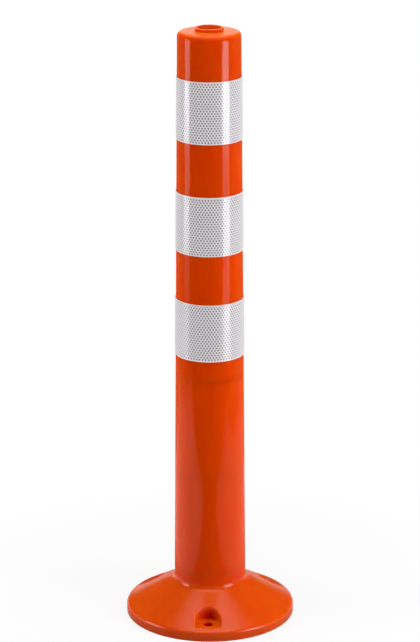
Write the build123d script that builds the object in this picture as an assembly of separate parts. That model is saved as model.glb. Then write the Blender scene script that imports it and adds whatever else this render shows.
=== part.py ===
from build123d import *
import os
from math import cos, degrees, hypot, radians, tan

# Flexible delineator post: one moulded post, divided where it bends, and three wrapped bands of film.
# Millimetres. +Z is up, the origin is the centre of the base on the ground, the front is towards -Y.

# Overall sizes
TOTAL_HEIGHT = 709.8
BASE_DIAMETER = 200.0

# Tube: above a short straight stub it tapers towards the top, and its wall is thickest at the root
TUBE_ROOT_DIAMETER = 84.6
TUBE_TOP_DIAMETER = 72.9
ROOT_WALL = 8.0
TOP_WALL = 4.2

# Shoulder and open neck
SHOULDER_ROUND = 5.3
SHOULDER_FALL = 0.8
ROOF_THICKNESS = 5.0
ROOF_CORNER = 5.0
NECK_BORE_DIAMETER = 27.4
NECK_WALL = 2.0
NECK_STRAIGHT = 1.5
NECK_FOOT_ROUND = 1.2
LIP_OVERHANG = 1.0
LIP_HEIGHT = 1.4
LIP_ROUND = 1.1

# Conical base with a low upright rim
RIM_HEIGHT = 10.9
RIM_ROUND = 5.0
CONE_ANGLE = 28.9
ROOT_FILLET = 8.5
STUB_HEIGHT = 12.3
BASE_SKIN = 6.0
RIM_WALL = 7.0
HUB_WALL = 11.0
RIB_THICKNESS = 4.0
RIBS_PER_BOLT = 3

# Bolt pockets
BOLT_COUNT = 3
BOLT_EDGE_DISTANCE = 18.0
BOLT_HOLE_DIAMETER = 10.5
POCKET_WIDTH = 29.4
POCKET_DRAFT = 6.0
POCKET_FLOOR = 14.3
POCKET_WALL = 4.0
POCKET_EDGE_ROUND = 1.5
FRONT_ANGLE = -90.0
BACK_ANGLE = FRONT_ANGLE + 180

# The stretch of tube that bends runs from the stub to this far below the lowest band
FLEX_CLEARANCE = 25.0

# Reflective bands, from the top down
BAND_DROP = 51.9
UPPER_BAND_HEIGHT = 71.9
UPPER_GAP = 61.4
MIDDLE_BAND_HEIGHT = 69.5
LOWER_GAP = 57.9
LOWER_BAND_HEIGHT = 68.3
FILM_THICKNESS = 0.35
GLUE_LINE = 0.4
FILM_LAP = 12.0

# Places worked out from the sizes above
BASE_RADIUS = BASE_DIAMETER / 2
BOLT_RADIUS = BASE_RADIUS - BOLT_EDGE_DISTANCE
ROOT_RADIUS = TUBE_ROOT_DIAMETER / 2
BORE_RADIUS = ROOT_RADIUS - ROOT_WALL
LIP_LEVEL = TOTAL_HEIGHT - LIP_HEIGHT
SHOULDER_LEVEL = LIP_LEVEL - LIP_OVERHANG - NECK_STRAIGHT
UPPER_BAND_TOP = SHOULDER_LEVEL - BAND_DROP
MIDDLE_BAND_TOP = UPPER_BAND_TOP - UPPER_BAND_HEIGHT - UPPER_GAP
LOWER_BAND_TOP = MIDDLE_BAND_TOP - MIDDLE_BAND_HEIGHT - LOWER_GAP
FLEX_END = LOWER_BAND_TOP - LOWER_BAND_HEIGHT - FLEX_CLEARANCE


def cone_height(radius):
    """Height of the base's cone at a radius, with the rim and the root still sharp."""
    return RIM_HEIGHT + (BASE_RADIUS - radius) * tan(radians(CONE_ANGLE))


# The fillet between cone and tube ends this far up the tube, and the stub stands on it.
ROOT_CORNER_HEIGHT = cone_height(ROOT_RADIUS)
FILLET_REACH = ROOT_FILLET / tan(radians(90 + CONE_ANGLE) / 2)
FLEX_START = ROOT_CORNER_HEIGHT + FILLET_REACH + STUB_HEIGHT


def outer_radius(height):
    """Radius of the tube's tapered outside at a height above the stub."""
    share = (height - FLEX_START) / (SHOULDER_LEVEL - FLEX_START)
    return ROOT_RADIUS + (TUBE_TOP_DIAMETER / 2 - ROOT_RADIUS) * share


def inner_radius(height):
    """Radius of the tube's bore at a height above the stub."""
    share = (height - FLEX_START) / (SHOULDER_LEVEL - FLEX_START)
    return outer_radius(height) - (ROOT_WALL + (TOP_WALL - ROOT_WALL) * share)


def outline(points, rounds):
    """Closed half section, radius across and height up, with chosen corners rounded."""
    section = make_face(Polyline(*points, close=True))
    for corner, radius in rounds:
        section = fillet(section.vertices().sort_by_distance(corner)[0], radius)
    return section


def turned(section, angle=360.0):
    """Solid turned about the post's axis from a half section."""
    return revolve(Plane.XZ * section, Axis.Z, angle)


def tube_length(bottom, top):
    """Plain stretch of the tube between two heights."""
    points = [
        (outer_radius(bottom), bottom),
        (outer_radius(top), top),
        (inner_radius(top), top),
        (inner_radius(bottom), bottom),
    ]
    return turned(outline(points, []))


def at_each_bolt(solid):
    """Copies of a solid made along +X, one for each bolt, the first at the front."""
    return [Rot(0, 0, FRONT_ANGLE + k * 360 / BOLT_COUNT) * solid for k in range(BOLT_COUNT)]


def slot_shape(width):
    """U-shaped plan of a pocket: round towards the post, straight out past the rim, along +X."""
    run_out = BASE_RADIUS
    straight = Pos(BOLT_RADIUS + run_out / 2, 0) * Rectangle(run_out, width)
    return Pos(BOLT_RADIUS, 0) * Circle(width / 2) + straight


def is_pocket_edge(edge):
    """True for an edge in which a pocket's wall meets the cone."""
    if edge.geom_type in (GeomType.LINE, GeomType.CIRCLE):
        return False
    middle = edge @ 0.5
    height = cone_height(hypot(middle.X, middle.Y))
    return middle.Z > POCKET_FLOOR and abs(middle.Z - height) < POCKET_EDGE_ROUND / 10


def make_base():
    """Conical base: a ribbed skin on a hub and a rim, with a solid foot under each bolt pocket."""
    rim_corner = (BASE_RADIUS, RIM_HEIGHT)
    root_corner = (ROOT_RADIUS, ROOT_CORNER_HEIGHT)
    body_points = [
        (BORE_RADIUS, 0),
        (BASE_RADIUS, 0),
        rim_corner,
        root_corner,
        (ROOT_RADIUS, FLEX_START),
        (BORE_RADIUS, FLEX_START),
    ]
    body = turned(outline(body_points, [(rim_corner, RIM_ROUND), (root_corner, ROOT_FILLET)]))

    # The hollow underneath leaves a skin of even thickness below the cone.
    hub_radius = BORE_RADIUS + HUB_WALL
    rim_inside = BASE_RADIUS - RIM_WALL
    skin_drop = BASE_SKIN / cos(radians(CONE_ANGLE))
    hollow_points = [
        (hub_radius, 0),
        (rim_inside, 0),
        (rim_inside, cone_height(rim_inside) - skin_drop),
        (hub_radius, cone_height(hub_radius) - skin_drop),
    ]
    hollow = turned(outline(hollow_points, []))

    # Ribs stand between the pockets, and each foot fills the hollow below its pocket.
    # What is cut upwards from the ground runs past the top of the base.
    through = FLEX_START
    rib_length = rim_inside - hub_radius
    rib_count = RIBS_PER_BOLT * BOLT_COUNT
    rib_step = 360 / rib_count
    rib = Pos((hub_radius + rim_inside) / 2, 0) * Rectangle(rib_length + RIB_THICKNESS, RIB_THICKNESS)
    for k in range(rib_count):
        angle = FRONT_ANGLE + (k + 0.5) * rib_step
        hollow -= Rot(0, 0, angle) * extrude(rib, through)
    foot = extrude(slot_shape(POCKET_WIDTH + 2 * POCKET_WALL), through)
    hollow -= at_each_bolt(foot)
    base = body - hollow

    # Pockets open upwards with drafted walls and rounded edges, and the holes go right through.
    pocket_floor = Pos(0, 0, POCKET_FLOOR) * slot_shape(POCKET_WIDTH)
    pocket = extrude(pocket_floor, through, taper=-POCKET_DRAFT)
    hole = extrude(Pos(BOLT_RADIUS, 0) * Circle(BOLT_HOLE_DIAMETER / 2), through)
    base -= at_each_bolt(pocket)
    base = fillet(base.edges().filter_by(is_pocket_edge), POCKET_EDGE_ROUND)
    base -= at_each_bolt(hole)
    return base


def make_post():
    """Upper tube with its rounded shoulder and the open neck, whose lip is a bead."""
    bore = NECK_BORE_DIAMETER / 2
    neck = bore + NECK_WALL
    lip = neck + LIP_OVERHANG
    edge_level = SHOULDER_LEVEL - SHOULDER_FALL
    roof_level = SHOULDER_LEVEL - ROOF_THICKNESS
    shoulder = (outer_radius(edge_level), edge_level)
    neck_foot = (neck, SHOULDER_LEVEL)
    lip_outside = (lip, TOTAL_HEIGHT)
    lip_inside = (bore, TOTAL_HEIGHT)
    roof_corner = (inner_radius(roof_level), roof_level)
    points = [
        (outer_radius(FLEX_END), FLEX_END),
        shoulder,
        neck_foot,
        (neck, LIP_LEVEL - LIP_OVERHANG),
        (lip, LIP_LEVEL),
        lip_outside,
        lip_inside,
        (bore, roof_level),
        roof_corner,
        (inner_radius(FLEX_END), FLEX_END),
    ]
    rounds = [
        (shoulder, SHOULDER_ROUND),
        (neck_foot, NECK_FOOT_ROUND),
        (lip_outside, LIP_ROUND),
        (lip_inside, LIP_ROUND),
        (roof_corner, ROOF_CORNER),
    ]
    return turned(outline(points, rounds))


def make_band(top, height):
    """Strip of film wrapped round the tube, with its end lapped over its start at the back."""
    bottom = top - height

    def layer(inside, outside, angle):
        points = [
            (outer_radius(bottom) + inside, bottom),
            (outer_radius(top) + inside, top),
            (outer_radius(top) + outside, top),
            (outer_radius(bottom) + outside, bottom),
        ]
        return turned(outline(points, []), angle)

    film_inside = GLUE_LINE
    film_outside = GLUE_LINE + FILM_THICKNESS
    lap_angle = degrees(FILM_LAP / outer_radius(bottom))
    lap = layer(film_outside, film_outside + FILM_THICKNESS, lap_angle)
    lap = Rot(0, 0, BACK_ANGLE - lap_angle / 2) * lap
    return layer(film_inside, film_outside, 360.0) + lap


nodes = {
    "base_flange": make_base(),
    "flex_root": tube_length(FLEX_START, FLEX_END),
    "post_tube": make_post(),
    "upper_band": make_band(UPPER_BAND_TOP, UPPER_BAND_HEIGHT),
    "middle_band": make_band(MIDDLE_BAND_TOP, MIDDLE_BAND_HEIGHT),
    "lower_band": make_band(LOWER_BAND_TOP, LOWER_BAND_HEIGHT),
}

os.makedirs("parts", exist_ok=True)
for name, solid in nodes.items():
    export_step(solid, f"parts/{name}.step")
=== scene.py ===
import math

import bpy
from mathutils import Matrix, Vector


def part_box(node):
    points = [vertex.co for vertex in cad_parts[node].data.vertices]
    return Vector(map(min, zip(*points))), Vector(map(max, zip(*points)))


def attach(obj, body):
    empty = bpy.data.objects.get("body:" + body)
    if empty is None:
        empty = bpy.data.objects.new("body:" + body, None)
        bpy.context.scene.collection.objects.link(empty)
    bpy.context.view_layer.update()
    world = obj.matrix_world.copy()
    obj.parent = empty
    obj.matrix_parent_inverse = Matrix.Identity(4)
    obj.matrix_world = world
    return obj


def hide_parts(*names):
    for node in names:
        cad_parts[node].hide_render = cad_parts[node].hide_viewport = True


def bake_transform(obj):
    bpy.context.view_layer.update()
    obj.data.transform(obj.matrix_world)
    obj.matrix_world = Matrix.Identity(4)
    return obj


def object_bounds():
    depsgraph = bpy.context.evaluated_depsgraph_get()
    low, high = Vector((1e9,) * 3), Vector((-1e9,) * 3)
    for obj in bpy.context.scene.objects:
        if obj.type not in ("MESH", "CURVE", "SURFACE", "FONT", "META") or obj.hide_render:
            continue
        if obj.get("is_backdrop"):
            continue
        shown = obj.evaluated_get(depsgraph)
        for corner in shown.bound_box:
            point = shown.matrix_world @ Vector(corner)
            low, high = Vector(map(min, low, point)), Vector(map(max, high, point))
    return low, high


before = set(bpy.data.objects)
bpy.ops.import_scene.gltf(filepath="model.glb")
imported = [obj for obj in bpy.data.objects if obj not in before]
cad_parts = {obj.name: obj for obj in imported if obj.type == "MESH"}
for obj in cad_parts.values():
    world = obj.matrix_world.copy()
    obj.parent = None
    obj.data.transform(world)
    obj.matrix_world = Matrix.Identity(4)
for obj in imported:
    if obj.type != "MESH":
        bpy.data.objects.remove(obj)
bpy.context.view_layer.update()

MM = 0.001


# Base: the foot of a hollow injection moulding of orange polyurethane, bolted down through three
# pockets. The mould is blasted to a fine satin here, so the cone and the pockets scatter their
# highlights. The CAD node has the right shape, so it stays and takes the moulding's finish.


def linear(hex_colour):
    """Linear RGBA of an sRGB hex colour."""
    shares = [int(hex_colour[k : k + 2], 16) / 255 for k in (1, 3, 5)]
    return [s / 12.92 if s <= 0.04045 else ((s + 0.055) / 1.055) ** 2.4 for s in shares] + [1.0]


def add_node(tree, kind, inputs, **settings):
    """Add a node and give its outputs; each input is a value or the output that feeds it."""
    node = tree.nodes.new("ShaderNode" + kind)
    for name, value in settings.items():
        setattr(node, name, value)
    for name, value in inputs.items():
        if isinstance(value, bpy.types.NodeSocket):
            tree.links.new(value, node.inputs[name])
        else:
            node.inputs[name].default_value = value
    return node.outputs


def new_material(name):
    """Empty node material and its tree."""
    material = bpy.data.materials.new(name)
    material.use_nodes = True
    material.node_tree.nodes.clear()
    return material, material.node_tree


def pocket_shade(tree, place, reach, height):
    """How deep a point lies in the bolt pockets and holes, and so how much painted shade it takes, from
    nought to one, sized as in the CAD.
    """
    base_radius = 100 * MM
    rim_height = 10.9 * MM
    cone_slope = math.tan(math.radians(28.9))
    bolt_circle_radius = 82 * MM
    hole_reach = 5.6 * MM
    half_width = 14.7 * MM
    floor_level = 14.3 * MM
    draft = math.tan(math.radians(6))
    half_sector = math.pi / 3
    edge_start, edge_end = 0.2 * MM, 1.2 * MM
    deep_start, deep_end = 1.0 * MM, 6.5 * MM
    middle_end, side_start = 2.0 * MM, 14.0 * MM
    side_share = 0.35

    # Each point is turned to the nearest pocket's own axes: outwards along it, and sideways across it.
    axes = add_node(tree, "SeparateXYZ", {"Vector": place})
    forwards = add_node(tree, "Math", {0: axes["Y"], 1: -1.0}, operation="MULTIPLY")
    azimuth = add_node(tree, "Math", {0: axes["X"], 1: forwards[0]}, operation="ARCTAN2")
    off_pocket = add_node(
        tree, "Math", {0: azimuth[0], 1: -half_sector, 2: half_sector}, operation="WRAP"
    )
    cosine = add_node(tree, "Math", {0: off_pocket[0]}, operation="COSINE")
    sine = add_node(tree, "Math", {0: off_pocket[0]}, operation="SINE")
    sideways = add_node(tree, "Math", {0: reach, 1: sine[0]}, operation="MULTIPLY")
    outwards = add_node(
        tree, "Math", {0: reach, 1: cosine[0], 2: -bolt_circle_radius}, operation="MULTIPLY_ADD"
    )

    # A pocket is round towards the post and straight outwards, and it widens upwards by its draft.
    inwards = add_node(tree, "Math", {0: outwards[0], 1: 0.0}, operation="MINIMUM")
    offset = add_node(tree, "CombineXYZ", {"X": inwards[0], "Y": sideways[0]})
    off_middle = add_node(tree, "VectorMath", {0: offset[0]}, operation="LENGTH")
    undrafted = add_node(
        tree, "Math", {0: height, 1: -draft, 2: off_middle["Value"]}, operation="MULTIPLY_ADD"
    )
    wall = half_width - floor_level * draft
    inside = add_node(
        tree,
        "MapRange",
        {0: undrafted[0], 1: wall + edge_start, 2: wall + edge_end, 3: 1.0, 4: 0.0},
        interpolation_type="SMOOTHSTEP",
    )
    above_floor = add_node(
        tree,
        "MapRange",
        {0: height, 1: floor_level + edge_start, 2: floor_level + edge_end},
        interpolation_type="SMOOTHSTEP",
    )
    on_wall = add_node(tree, "Math", {0: inside[0], 1: above_floor[0]}, operation="MULTIPLY")

    # Its walls stay pale near the cone's surface and at the sides, where the light gets in.
    cone_top = rim_height + base_radius * cone_slope
    cone = add_node(
        tree, "Math", {0: reach, 1: -cone_slope, 2: cone_top}, operation="MULTIPLY_ADD"
    )
    depth = add_node(tree, "Math", {0: cone[0], 1: height}, operation="SUBTRACT")
    deep = add_node(
        tree, "MapRange", {0: depth[0], 1: deep_start, 2: deep_end}, interpolation_type="SMOOTHSTEP"
    )
    to_side = add_node(tree, "Math", {0: sideways[0]}, operation="ABSOLUTE")
    at_back = add_node(
        tree,
        "MapRange",
        {0: to_side[0], 1: middle_end, 2: side_start, 3: 1.0, 4: side_share},
        interpolation_type="SMOOTHSTEP",
    )
    deep_back = add_node(tree, "Math", {0: deep[0], 1: at_back[0]}, operation="MULTIPLY")
    deep_wall = add_node(tree, "Math", {0: on_wall[0], 1: deep_back[0]}, operation="MULTIPLY")

    # The bolt hole goes down through the floor, and is painted in full shade.
    across_bolt = add_node(tree, "CombineXYZ", {"X": outwards[0], "Y": sideways[0]})
    off_bolt = add_node(tree, "VectorMath", {0: across_bolt[0]}, operation="LENGTH")
    in_hole = add_node(tree, "Math", {0: off_bolt["Value"], 1: hole_reach}, operation="LESS_THAN")
    return add_node(tree, "Math", {0: deep_wall[0], 1: in_hole[0]}, operation="MAXIMUM")[0]


def polyurethane(name, foot_gloss, skin_roughness):
    """Moulded polyurethane: an orange pigment that drifts a little along the melt's flow.

    It is a little paler in the foot than in the tube. The roof is painted paler, as painted light from
    above, and the bolt pockets and holes deep red, as painted shade.
    The bore is painted palest, as painted light for what the neck's thin wall lets through.
    A thin clear skin, slightly wavy, gives the gloss. It reflects less than a lacquer would.
    """
    foot_colour = linear("#D74A00")
    # Painted shade: the deep red of the bolt pockets and holes stands for the shade that falls in them.
    pocket_painted_shade_colour = linear("#BC1000")
    tube_colour = linear("#D33F00")
    # Painted light: the roof's paler orange stands for the light that falls on it from above.
    roof_painted_light_colour = linear("#EA5810")
    # Painted light: the bore's palest orange stands for the light that the neck's thin wall lets
    # through.
    bore_painted_light_colour = linear("#FF6A1C")
    foot_end = (40 * MM, 50 * MM)
    roof_start = (702.5 * MM, 705 * MM)
    bore_reach = 14.2 * MM
    flow_streak = (14 * MM, 14 * MM, 70 * MM)
    flow_range = (0.3, 0.7)
    flow_drift = (0.96, 1.04)
    pocket_gloss = 0.15
    tube_gloss = 0.2
    peel_size = 3.0 * MM
    peel_depth = 0.02 * MM

    # Where a point lies: its height, its reach from the axis, and the region that they put it in.
    material, tree = new_material(name)
    place = add_node(tree, "TexCoord", {})["Object"]
    height = add_node(tree, "SeparateXYZ", {"Vector": place})["Z"]
    flat = add_node(tree, "VectorMath", {0: place, 1: (1, 1, 0)}, operation="MULTIPLY")
    reach = add_node(tree, "VectorMath", {0: flat[0]}, operation="LENGTH")["Value"]
    painted_pocket_shade = pocket_shade(tree, place, reach, height)
    above_foot = add_node(
        tree,
        "MapRange",
        {0: height, 1: foot_end[0], 2: foot_end[1]},
        interpolation_type="SMOOTHSTEP",
    )
    roof_painted_light = add_node(
        tree,
        "MapRange",
        {0: height, 1: roof_start[0], 2: roof_start[1]},
        interpolation_type="SMOOTHSTEP",
    )
    bore_painted_light = add_node(tree, "Math", {0: reach, 1: bore_reach}, operation="LESS_THAN")

    # The pigment of each region, with painted shade in the pockets and painted light on the roof and in
    # the bore, streaked along the flow.
    foot = add_node(
        tree, "Mix", {"Factor": painted_pocket_shade, "A": foot_colour, "B": pocket_painted_shade_colour}, data_type="RGBA"
    )
    post = add_node(
        tree, "Mix", {"Factor": roof_painted_light[0], "A": tube_colour, "B": roof_painted_light_colour}, data_type="RGBA"
    )
    tube_with_painted_light = add_node(
        tree, "Mix", {"Factor": bore_painted_light[0], "A": post["Result"], "B": bore_painted_light_colour}, data_type="RGBA"
    )
    pigment = add_node(
        tree,
        "Mix",
        {"Factor": above_foot[0], "A": foot["Result"], "B": tube_with_painted_light["Result"]},
        data_type="RGBA",
    )
    along_flow = add_node(tree, "Mapping", {"Vector": place, "Scale": [1 / s for s in flow_streak]})
    flow = add_node(tree, "TexNoise", {"Vector": along_flow[0], "Scale": 1.0, "Detail": 2.0})
    drift = add_node(
        tree,
        "MapRange",
        {0: flow["Fac"], 1: flow_range[0], 2: flow_range[1], 3: flow_drift[0], 4: flow_drift[1]},
    )
    streaked = add_node(tree, "HueSaturation", {"Color": pigment["Result"], "Value": drift[0]})

    # The clear skin over it.
    on_foot = add_node(tree, "MapRange", {0: painted_pocket_shade, 3: foot_gloss, 4: pocket_gloss})
    gloss = add_node(tree, "MapRange", {0: above_foot[0], 3: on_foot[0], 4: tube_gloss})
    peel = add_node(tree, "TexNoise", {"Vector": place, "Scale": 1 / peel_size, "Detail": 2.0})
    skin = add_node(tree, "Bump", {"Height": peel["Fac"], "Distance": peel_depth, "Strength": 1.0})
    plastic = add_node(
        tree,
        "BsdfPrincipled",
        {
            "Base Color": streaked[0],
            "Roughness": 0.5,
            "IOR": 1.5,
            "Specular IOR Level": 0.0,
            "Subsurface Weight": 0.8,
            "Subsurface Radius": (1.0, 0.13, 0.05),
            "Subsurface Scale": 9 * MM,
            "Normal": skin[0],
            "Coat Weight": gloss[0],
            "Coat Roughness": skin_roughness,
            "Coat IOR": 1.5,
            "Coat Normal": skin[0],
        },
    )
    add_node(tree, "OutputMaterial", {"Surface": plastic[0]})
    return material


satin_moulding = polyurethane("satin_moulded_polyurethane", foot_gloss=0.68, skin_roughness=0.2)
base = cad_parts["base_flange"]
base.data.materials.clear()
base.data.materials.append(satin_moulding)


# Upper tube: the same moulding, tapered, with a rounded shoulder and an open neck that ends in a bead.
# Its mould is polished, so the skin is glossy. The CAD node stays.
gloss_moulding = polyurethane("gloss_moulded_polyurethane", foot_gloss=0.2, skin_roughness=0.1)
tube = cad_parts["post_tube"]
tube.data.materials.clear()
tube.data.materials.append(gloss_moulding)


# Bending stretch: the plain tube just above the base, which folds over when a wheel hits the post.
# It is the same moulding and has no pin, so two turned walls, a lower and an upper one,
# take the place of the rigid node.
stretch_low, stretch_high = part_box("flex_root")
bottom, top = stretch_low.z, stretch_high.z
middle = (bottom + top) / 2
root_wall = 8.0 * MM
end_wall = 6.588 * MM
root_radius = stretch_high.x
end_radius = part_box("post_tube")[1].x
root_bore = root_radius - root_wall
end_bore = end_radius - end_wall
wall_rings = 29


def turn(name, section, rings, start=0.0, angle=2 * math.pi):
    """Turn a closed section of radii and heights about the post's axis, from one azimuth on."""
    steps_round = 128
    weld_distance = 0.01 * MM
    smooth_below = math.radians(30)
    corners = [Vector((r * math.cos(start), r * math.sin(start), z)) for r, z in section]

    # One point is drawn on from corner to corner, round the section.
    bpy.ops.object.select_all(action="DESELECT")
    bpy.ops.mesh.primitive_plane_add(size=MM)
    piece = bpy.context.object
    piece.name = name
    bpy.ops.object.mode_set(mode="EDIT")
    bpy.ops.mesh.select_all(action="SELECT")
    bpy.ops.mesh.merge(type="CENTER")
    bpy.ops.transform.translate(value=corners[0])
    for here, there in zip(corners, corners[1:] + corners[:1]):
        bpy.ops.mesh.extrude_region_move(TRANSFORM_OT_translate={"value": there - here})
    bpy.ops.mesh.select_all(action="SELECT")
    bpy.ops.mesh.remove_doubles(threshold=weld_distance)
    bpy.ops.object.mode_set(mode="OBJECT")

    # Its upright edges are cut into rings.
    points = piece.data.vertices
    for edge in piece.data.edges:
        edge.select = abs(points[edge.vertices[0]].co.z - points[edge.vertices[1]].co.z) > MM
    for point in points:
        point.select = False
    bpy.ops.object.mode_set(mode="EDIT")
    bpy.ops.mesh.select_mode(type="EDGE")
    bpy.ops.mesh.subdivide(number_cuts=rings)
    bpy.ops.mesh.select_all(action="SELECT")

    # It is spun about the axis. A part turn starts from a face, so that both its ends are closed.
    if angle < 2 * math.pi:
        bpy.ops.mesh.edge_face_add()
    steps = round(steps_round * angle / (2 * math.pi))
    bpy.ops.mesh.spin(steps=steps, angle=angle, center=(0, 0, 0), axis=(0, 0, 1))
    bpy.ops.mesh.select_all(action="SELECT")
    bpy.ops.mesh.remove_doubles(threshold=weld_distance)
    bpy.ops.mesh.normals_make_consistent(inside=False)
    bpy.ops.mesh.select_mode(type="VERT")
    bpy.ops.object.mode_set(mode="OBJECT")
    bpy.ops.object.shade_smooth_by_angle(angle=smooth_below)
    return piece


def bending_wall(name, low, high):
    """Wall of the bending stretch between two heights."""
    low_share = (low - bottom) / (top - bottom)
    high_share = (high - bottom) / (top - bottom)
    section = [
        (root_radius + (end_radius - root_radius) * low_share, low),
        (root_radius + (end_radius - root_radius) * high_share, high),
        (root_bore + (end_bore - root_bore) * high_share, high),
        (root_bore + (end_bore - root_bore) * low_share, low),
    ]
    wall = turn(name, section, wall_rings)
    wall.data.materials.append(gloss_moulding)
    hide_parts("flex_root")
    return wall


lower_wall = bending_wall("lower_bending_wall", bottom, middle)
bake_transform(lower_wall)
upper_wall = bending_wall("upper_bending_wall", middle, top)
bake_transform(upper_wall)


# Reflective bands: three strips of prismatic road film, glued round the tube and lapped at the back.
# A clear acrylic face covers rows of tiny prism cells, a honeycomb with a plain sealed edge round it.
# They are turned more finely than the CAD nodes, whose facets would bend the highlights.
film_thickness = 0.35 * MM
film_lap = 12 * MM
film_rings = 5


def film(name, low, high, radius):
    """Prismatic film: dark metallised cell cores on a white ground, under a glossy clear face.

    The cores mirror the lamps up and down the post. The sheen is the paleness of prisms at a slant.
    """
    ground_colour = linear("#DBD4D9")
    core_colour = linear("#3C3844")
    cell_pitch = 3.58 * MM
    row_pitch = 2.79 * MM
    cell_core = 0.52 * MM
    cell_blur = 0.9 * MM
    sealed_edge = 1.3 * MM
    relief_depth = 0.02 * MM
    cells_round = round(2 * math.pi * radius / cell_pitch)

    # Cells stand in rows round the axis, every other row moved on by half a cell.
    material, tree = new_material(name)
    place = add_node(tree, "TexCoord", {})["Object"]
    axes = add_node(tree, "SeparateXYZ", {"Vector": place})
    forwards = add_node(tree, "Math", {0: axes["Y"], 1: -1.0}, operation="MULTIPLY")
    azimuth = add_node(tree, "Math", {0: axes["X"], 1: forwards[0]}, operation="ARCTAN2")
    rows = add_node(tree, "Math", {0: axes["Z"], 1: 1 / row_pitch}, operation="MULTIPLY")
    row = add_node(tree, "Math", {0: rows[0]}, operation="FLOOR")
    odd = add_node(tree, "Math", {0: row[0], 1: 2.0}, operation="MODULO")
    stagger = add_node(tree, "Math", {0: odd[0], 1: 0.5}, operation="MULTIPLY")
    columns = add_node(
        tree,
        "Math",
        {0: azimuth[0], 1: cells_round / (2 * math.pi), 2: stagger[0]},
        operation="MULTIPLY_ADD",
    )
    cell = add_node(tree, "CombineXYZ", {"X": columns[0], "Y": rows[0]})
    within = add_node(tree, "VectorMath", {0: cell[0]}, operation="FRACTION")
    centred = add_node(tree, "VectorMath", {0: within[0], 1: (0.5, 0.5, 0)}, operation="SUBTRACT")
    sized = add_node(
        tree, "VectorMath", {0: centred[0], 1: (cell_pitch, row_pitch, 0)}, operation="MULTIPLY"
    )
    from_core = add_node(tree, "VectorMath", {0: sized[0]}, operation="LENGTH")
    core = add_node(
        tree,
        "MapRange",
        {0: from_core["Value"], 1: cell_core, 2: cell_core + cell_blur, 3: 1.0, 4: 0.0},
        interpolation_type="SMOOTHSTEP",
    )

    # The sealed edge along the top and the bottom has no cells.
    off_middle = add_node(tree, "Math", {0: axes["Z"], 1: (low + high) / 2}, operation="SUBTRACT")
    to_edge = add_node(tree, "Math", {0: off_middle[0]}, operation="ABSOLUTE")
    half_printed = (high - low) / 2 - sealed_edge
    inside = add_node(tree, "Math", {0: to_edge[0], 1: half_printed}, operation="LESS_THAN")
    printed = add_node(tree, "Math", {0: core[0], 1: inside[0]}, operation="MULTIPLY")
    colour = add_node(
        tree, "Mix", {"Factor": printed[0], "A": ground_colour, "B": core_colour}, data_type="RGBA"
    )
    relief = add_node(
        tree, "Bump", {"Height": printed[0], "Distance": relief_depth, "Strength": 0.1}, invert=True
    )
    round_axis = add_node(tree, "Tangent", {}, direction_type="RADIAL", axis="Z")
    face = add_node(
        tree,
        "BsdfPrincipled",
        {
            "Base Color": colour["Result"],
            "Metallic": printed[0],
            "Roughness": 0.3,
            "IOR": 1.49,
            "Specular IOR Level": 0.0,
            "Anisotropic": 0.9,
            "Anisotropic Rotation": 0.25,
            "Tangent": round_axis[0],
            "Coat Weight": 0.35,
            "Coat Roughness": 0.1,
            "Coat IOR": 1.5,
            "Sheen Weight": 1.0,
            "Sheen Roughness": 0.7,
            "Normal": relief[0],
        },
    )
    add_node(tree, "OutputMaterial", {"Surface": face[0]})
    return material


for place_on_post in ("upper", "middle", "lower"):
    node = place_on_post + "_band"
    low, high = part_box(node)
    foot_radius = high.x
    head_radius = foot_radius - (root_radius - end_radius) * (high.z - low.z) / (top - bottom)
    layers = []
    for inside, outside in ((-film_thickness, 0.0), (0.0, film_thickness)):
        layers.append(
            [
                (foot_radius + outside, low.z),
                (head_radius + outside, high.z),
                (head_radius + inside, high.z),
                (foot_radius + inside, low.z),
            ]
        )
    lap_angle = film_lap / foot_radius
    lap_start = (math.pi - lap_angle) / 2
    strip = turn(place_on_post + "_film", layers[0], film_rings)
    lap = turn(place_on_post + "_lap", layers[1], film_rings, lap_start, lap_angle)
    bpy.ops.object.select_all(action="DESELECT")
    lap.select_set(True)
    strip.select_set(True)
    bpy.context.view_layer.objects.active = strip
    bpy.ops.object.join()
    prismatic = film(place_on_post + "_prismatic_film", low.z, high.z, foot_radius)
    strip.data.materials.append(prismatic)
    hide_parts(node)
    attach(strip, "post")


# Studio: a pale floor and a plain white background. Gloss sees them bright only behind the post, and
# the room is lighter there. Two upright softboxes, one overhead and one behind light the post, with
# two cards on the floor beside it.


def by_ray(tree, for_gloss, for_light):
    """One for the camera, a value for gloss and clear rays, and another for light that bounces."""
    path = add_node(tree, "LightPath", {})
    mirrored = add_node(
        tree, "Math", {0: path["Is Glossy Ray"], 1: path["Is Transmission Ray"]}, operation="MAXIMUM"
    )
    unseen = add_node(tree, "Mix", {"Factor": mirrored[0], "A": for_light, "B": for_gloss})
    seen = {"Factor": path["Is Camera Ray"], "A": unseen["Result"], "B": 1.0}
    return add_node(tree, "Mix", seen)["Result"]


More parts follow.
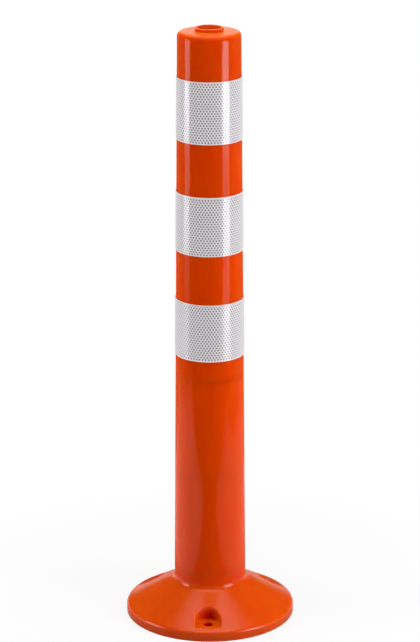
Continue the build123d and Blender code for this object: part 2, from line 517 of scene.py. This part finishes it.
# The room's light grows from front to back. Its shine is a low wall at the back.
white = linear("#FFFFFF")
front, back = -0.8, 0.5
front_light, back_light = 0.235, 0.34
wall_top = (0.02, 0.16)
shine_above_wall = 0.03
wall_start = (-0.2, 0.3)
world = bpy.data.worlds.new("studio")
bpy.context.scene.world = world
world.use_nodes = True
tree = world.node_tree
tree.nodes.clear()
direction = add_node(tree, "TexCoord", {})["Generated"]
axes = add_node(tree, "SeparateXYZ", {"Vector": direction})
room = add_node(
    tree,
    "MapRange",
    {0: axes["Y"], 1: front, 2: back, 3: front_light, 4: back_light},
    interpolation_type="SMOOTHSTEP",
)
low_wall = add_node(
    tree,
    "MapRange",
    {0: axes["Z"], 1: wall_top[0], 2: wall_top[1], 3: 1.0, 4: shine_above_wall},
    interpolation_type="SMOOTHSTEP",
)
back_wall = add_node(
    tree,
    "MapRange",
    {0: axes["Y"], 1: wall_start[0], 2: wall_start[1]},
    interpolation_type="SMOOTHSTEP",
)
wall = add_node(tree, "Math", {0: low_wall[0], 1: back_wall[0]}, operation="MULTIPLY")
brightness = by_ray(tree, wall[0], room[0])
sky = add_node(tree, "Background", {"Color": white, "Strength": brightness})
add_node(tree, "OutputWorld", {"Surface": sky[0]})

# The floor glows white, less so round the base. Its shine grows behind the post and fades far off.
floor_size = 14
under_base = 0.098
round_base = (0.1, 0.5)
glow_at_base = 0.82
shine_start = (-0.4, 0.4)
back_shine = 0.7
far_off = (0.6, 1.2)
far_share = 0.45
floor_white, tree = new_material("pale_floor")
place = add_node(tree, "TexCoord", {})["Object"]
outwards = add_node(tree, "VectorMath", {0: place}, operation="LENGTH")["Value"]
paling = add_node(
    tree,
    "MapRange",
    {0: outwards, 1: round_base[0], 2: round_base[1], 3: glow_at_base, 4: 1.0},
    interpolation_type="SMOOTHSTEP",
)
backwards = add_node(tree, "SeparateXYZ", {"Vector": place})["Y"]
behind = add_node(
    tree,
    "MapRange",
    {0: backwards, 1: shine_start[0], 2: shine_start[1], 3: 0.0, 4: back_shine},
    interpolation_type="SMOOTHSTEP",
)
near = add_node(
    tree,
    "MapRange",
    {0: outwards, 1: far_off[0], 2: far_off[1], 3: 1.0, 4: far_share},
    interpolation_type="SMOOTHSTEP",
)
in_gloss = add_node(tree, "Math", {0: behind[0], 1: near[0]}, operation="MULTIPLY")
clear_of_base = add_node(tree, "Math", {0: outwards, 1: under_base}, operation="GREATER_THAN")
open_floor = add_node(tree, "Math", {0: paling[0], 1: clear_of_base[0]}, operation="MULTIPLY")
shown = by_ray(tree, 1.0, 0.0)
share = add_node(tree, "Math", {0: shown, 1: open_floor[0]}, operation="MULTIPLY")
matte = add_node(tree, "BsdfDiffuse", {"Color": linear("#EEEEEE")})
brightness = by_ray(tree, in_gloss[0], 0.0)
glow = add_node(tree, "Emission", {"Color": white, "Strength": brightness})
surface = add_node(tree, "MixShader", {0: share[0], 1: matte[0], 2: glow[0]})
add_node(tree, "OutputMaterial", {"Surface": surface[0]})
bpy.ops.object.select_all(action="DESELECT")
bpy.ops.mesh.primitive_plane_add(size=floor_size, location=(0, 0, 0))
floor = bpy.context.object
floor.name = "floor"
floor.data.materials.append(floor_white)
floor.visible_diffuse = False
floor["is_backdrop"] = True


def softbox(
    name,
    size,
    location,
    rotation,
    glow,
    glow_at_foot=0.0,
    rise=(0.0, 0.01),
    soft_edge=0.01,
    light_share=1.0,
):
    """Soft panel, hidden from the camera, that shines from its back face and is clear from the other.

    Its glow grows above its foot and fades towards its sides. It may light less than it shows in gloss.
    """
    material, tree = new_material(name + "_cloth")
    place = add_node(tree, "TexCoord", {})["Object"]
    axes = add_node(tree, "SeparateXYZ", {"Vector": place})
    foot = -size[1] / 2
    grown = add_node(
        tree,
        "MapRange",
        {0: axes["Y"], 1: foot + rise[0], 2: foot + rise[1], 3: glow_at_foot, 4: glow},
        interpolation_type="SMOOTHSTEP",
    )
    to_side = add_node(tree, "Math", {0: axes["X"]}, operation="ABSOLUTE")
    side = size[0] / 2
    faded = add_node(
        tree,
        "MapRange",
        {0: to_side[0], 1: side - soft_edge, 2: side, 3: 1.0, 4: 0.0},
        interpolation_type="SMOOTHSTEP",
    )
    both_ways = add_node(tree, "Math", {0: grown[0], 1: faded[0]}, operation="MULTIPLY")
    facing = add_node(tree, "NewGeometry", {})["Backfacing"]
    shown = by_ray(tree, 1.0, light_share)
    strength = add_node(tree, "Math", {0: both_ways[0], 1: shown}, operation="MULTIPLY")
    cloth = add_node(tree, "Emission", {"Strength": strength[0]})
    clear = add_node(tree, "BsdfTransparent", {})
    one_way = add_node(tree, "MixShader", {0: facing, 1: clear[0], 2: cloth[0]})
    add_node(tree, "OutputMaterial", {"Surface": one_way[0]})
    bpy.ops.object.select_all(action="DESELECT")
    bpy.ops.mesh.primitive_plane_add(size=1, location=location, rotation=rotation)
    panel = bpy.context.object
    panel.name = name
    panel.scale = (*size, 1)
    bpy.ops.object.transform_apply(location=False, rotation=False, scale=True)
    panel.data.materials.append(material)
    panel.visible_camera = False
    panel.visible_shadow = False
    panel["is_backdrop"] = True


def beside(name, azimuth, width_angle, head, glow, glow_at_foot, rise):
    """Upright softbox at an azimuth from the front, turned to face the post."""
    distance = 1.2
    turned = math.radians(azimuth)
    width = 2 * distance * math.tan(math.radians(width_angle) / 2)
    location = (distance * math.sin(turned), -distance * math.cos(turned), head / 2)
    softbox(name, (width, head), location, (math.pi / 2, 0, turned), glow, glow_at_foot, rise)


beside(
    "left_softbox",
    azimuth=-81.5,
    width_angle=23,
    head=0.75,
    glow=11.3,
    glow_at_foot=0.5,
    rise=(-0.05, 0.6),
)
beside(
    "right_softbox",
    azimuth=60.8,
    width_angle=26.5,
    head=0.65,
    glow=19.5,
    glow_at_foot=4.5,
    rise=(0.2, 0.55),
)
softbox(
    "top_softbox",
    size=(1.4, 1.35),
    location=(0, -0.225, 1.46),
    rotation=(0, 0, 0),
    glow=1.95,
    glow_at_foot=2.7,
    rise=(0.6, 1.1),
    soft_edge=0.4,
)
softbox(
    "back_softbox",
    size=(0.6, 1.0),
    location=(0, 1.2, 1.22),
    rotation=(-math.pi / 2, 0, 0),
    glow=2.8,
)
softbox(
    "left_card",
    size=(0.95, 0.85),
    location=(-0.575, 0, 2 * MM),
    rotation=(math.pi, 0, math.pi / 2),
    glow=2.2,
    rise=(0.0, 0.3),
    light_share=0.55,
)
softbox(
    "right_card",
    size=(0.95, 0.6),
    location=(0.45, 0, 2 * MM),
    rotation=(math.pi, 0, -math.pi / 2),
    glow=1.6,
    rise=(0.0, 0.08),
    light_share=0.55,
)


# Camera: a long lens, a little above the post, as in the photograph.
# Its place and its angles, in degrees, were fitted to the outline, the band edges and the base rim.
image_height = 642
focal_pixels = 2620.3
stand_off = 2.9188
camera_height = 1.2734
camera_azimuth = 1.5
tilt_down = 17.33
roll = 0.0864
pan = -0.036
lens_data = bpy.data.cameras.new("camera")
lens_data.sensor_width = 36.0
lens_data.lens = focal_pixels / image_height * lens_data.sensor_width
camera = bpy.data.objects.new("camera", lens_data)
turned = math.radians(camera_azimuth)
camera.location = (stand_off * math.sin(turned), -stand_off * math.cos(turned), camera_height)
camera.rotation_euler = [math.radians(a) for a in (90 - tilt_down, roll, camera_azimuth + pan)]
bpy.context.scene.collection.objects.link(camera)
bpy.context.scene.camera = camera
bpy.context.scene.view_settings.view_transform = "Standard"

low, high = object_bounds()
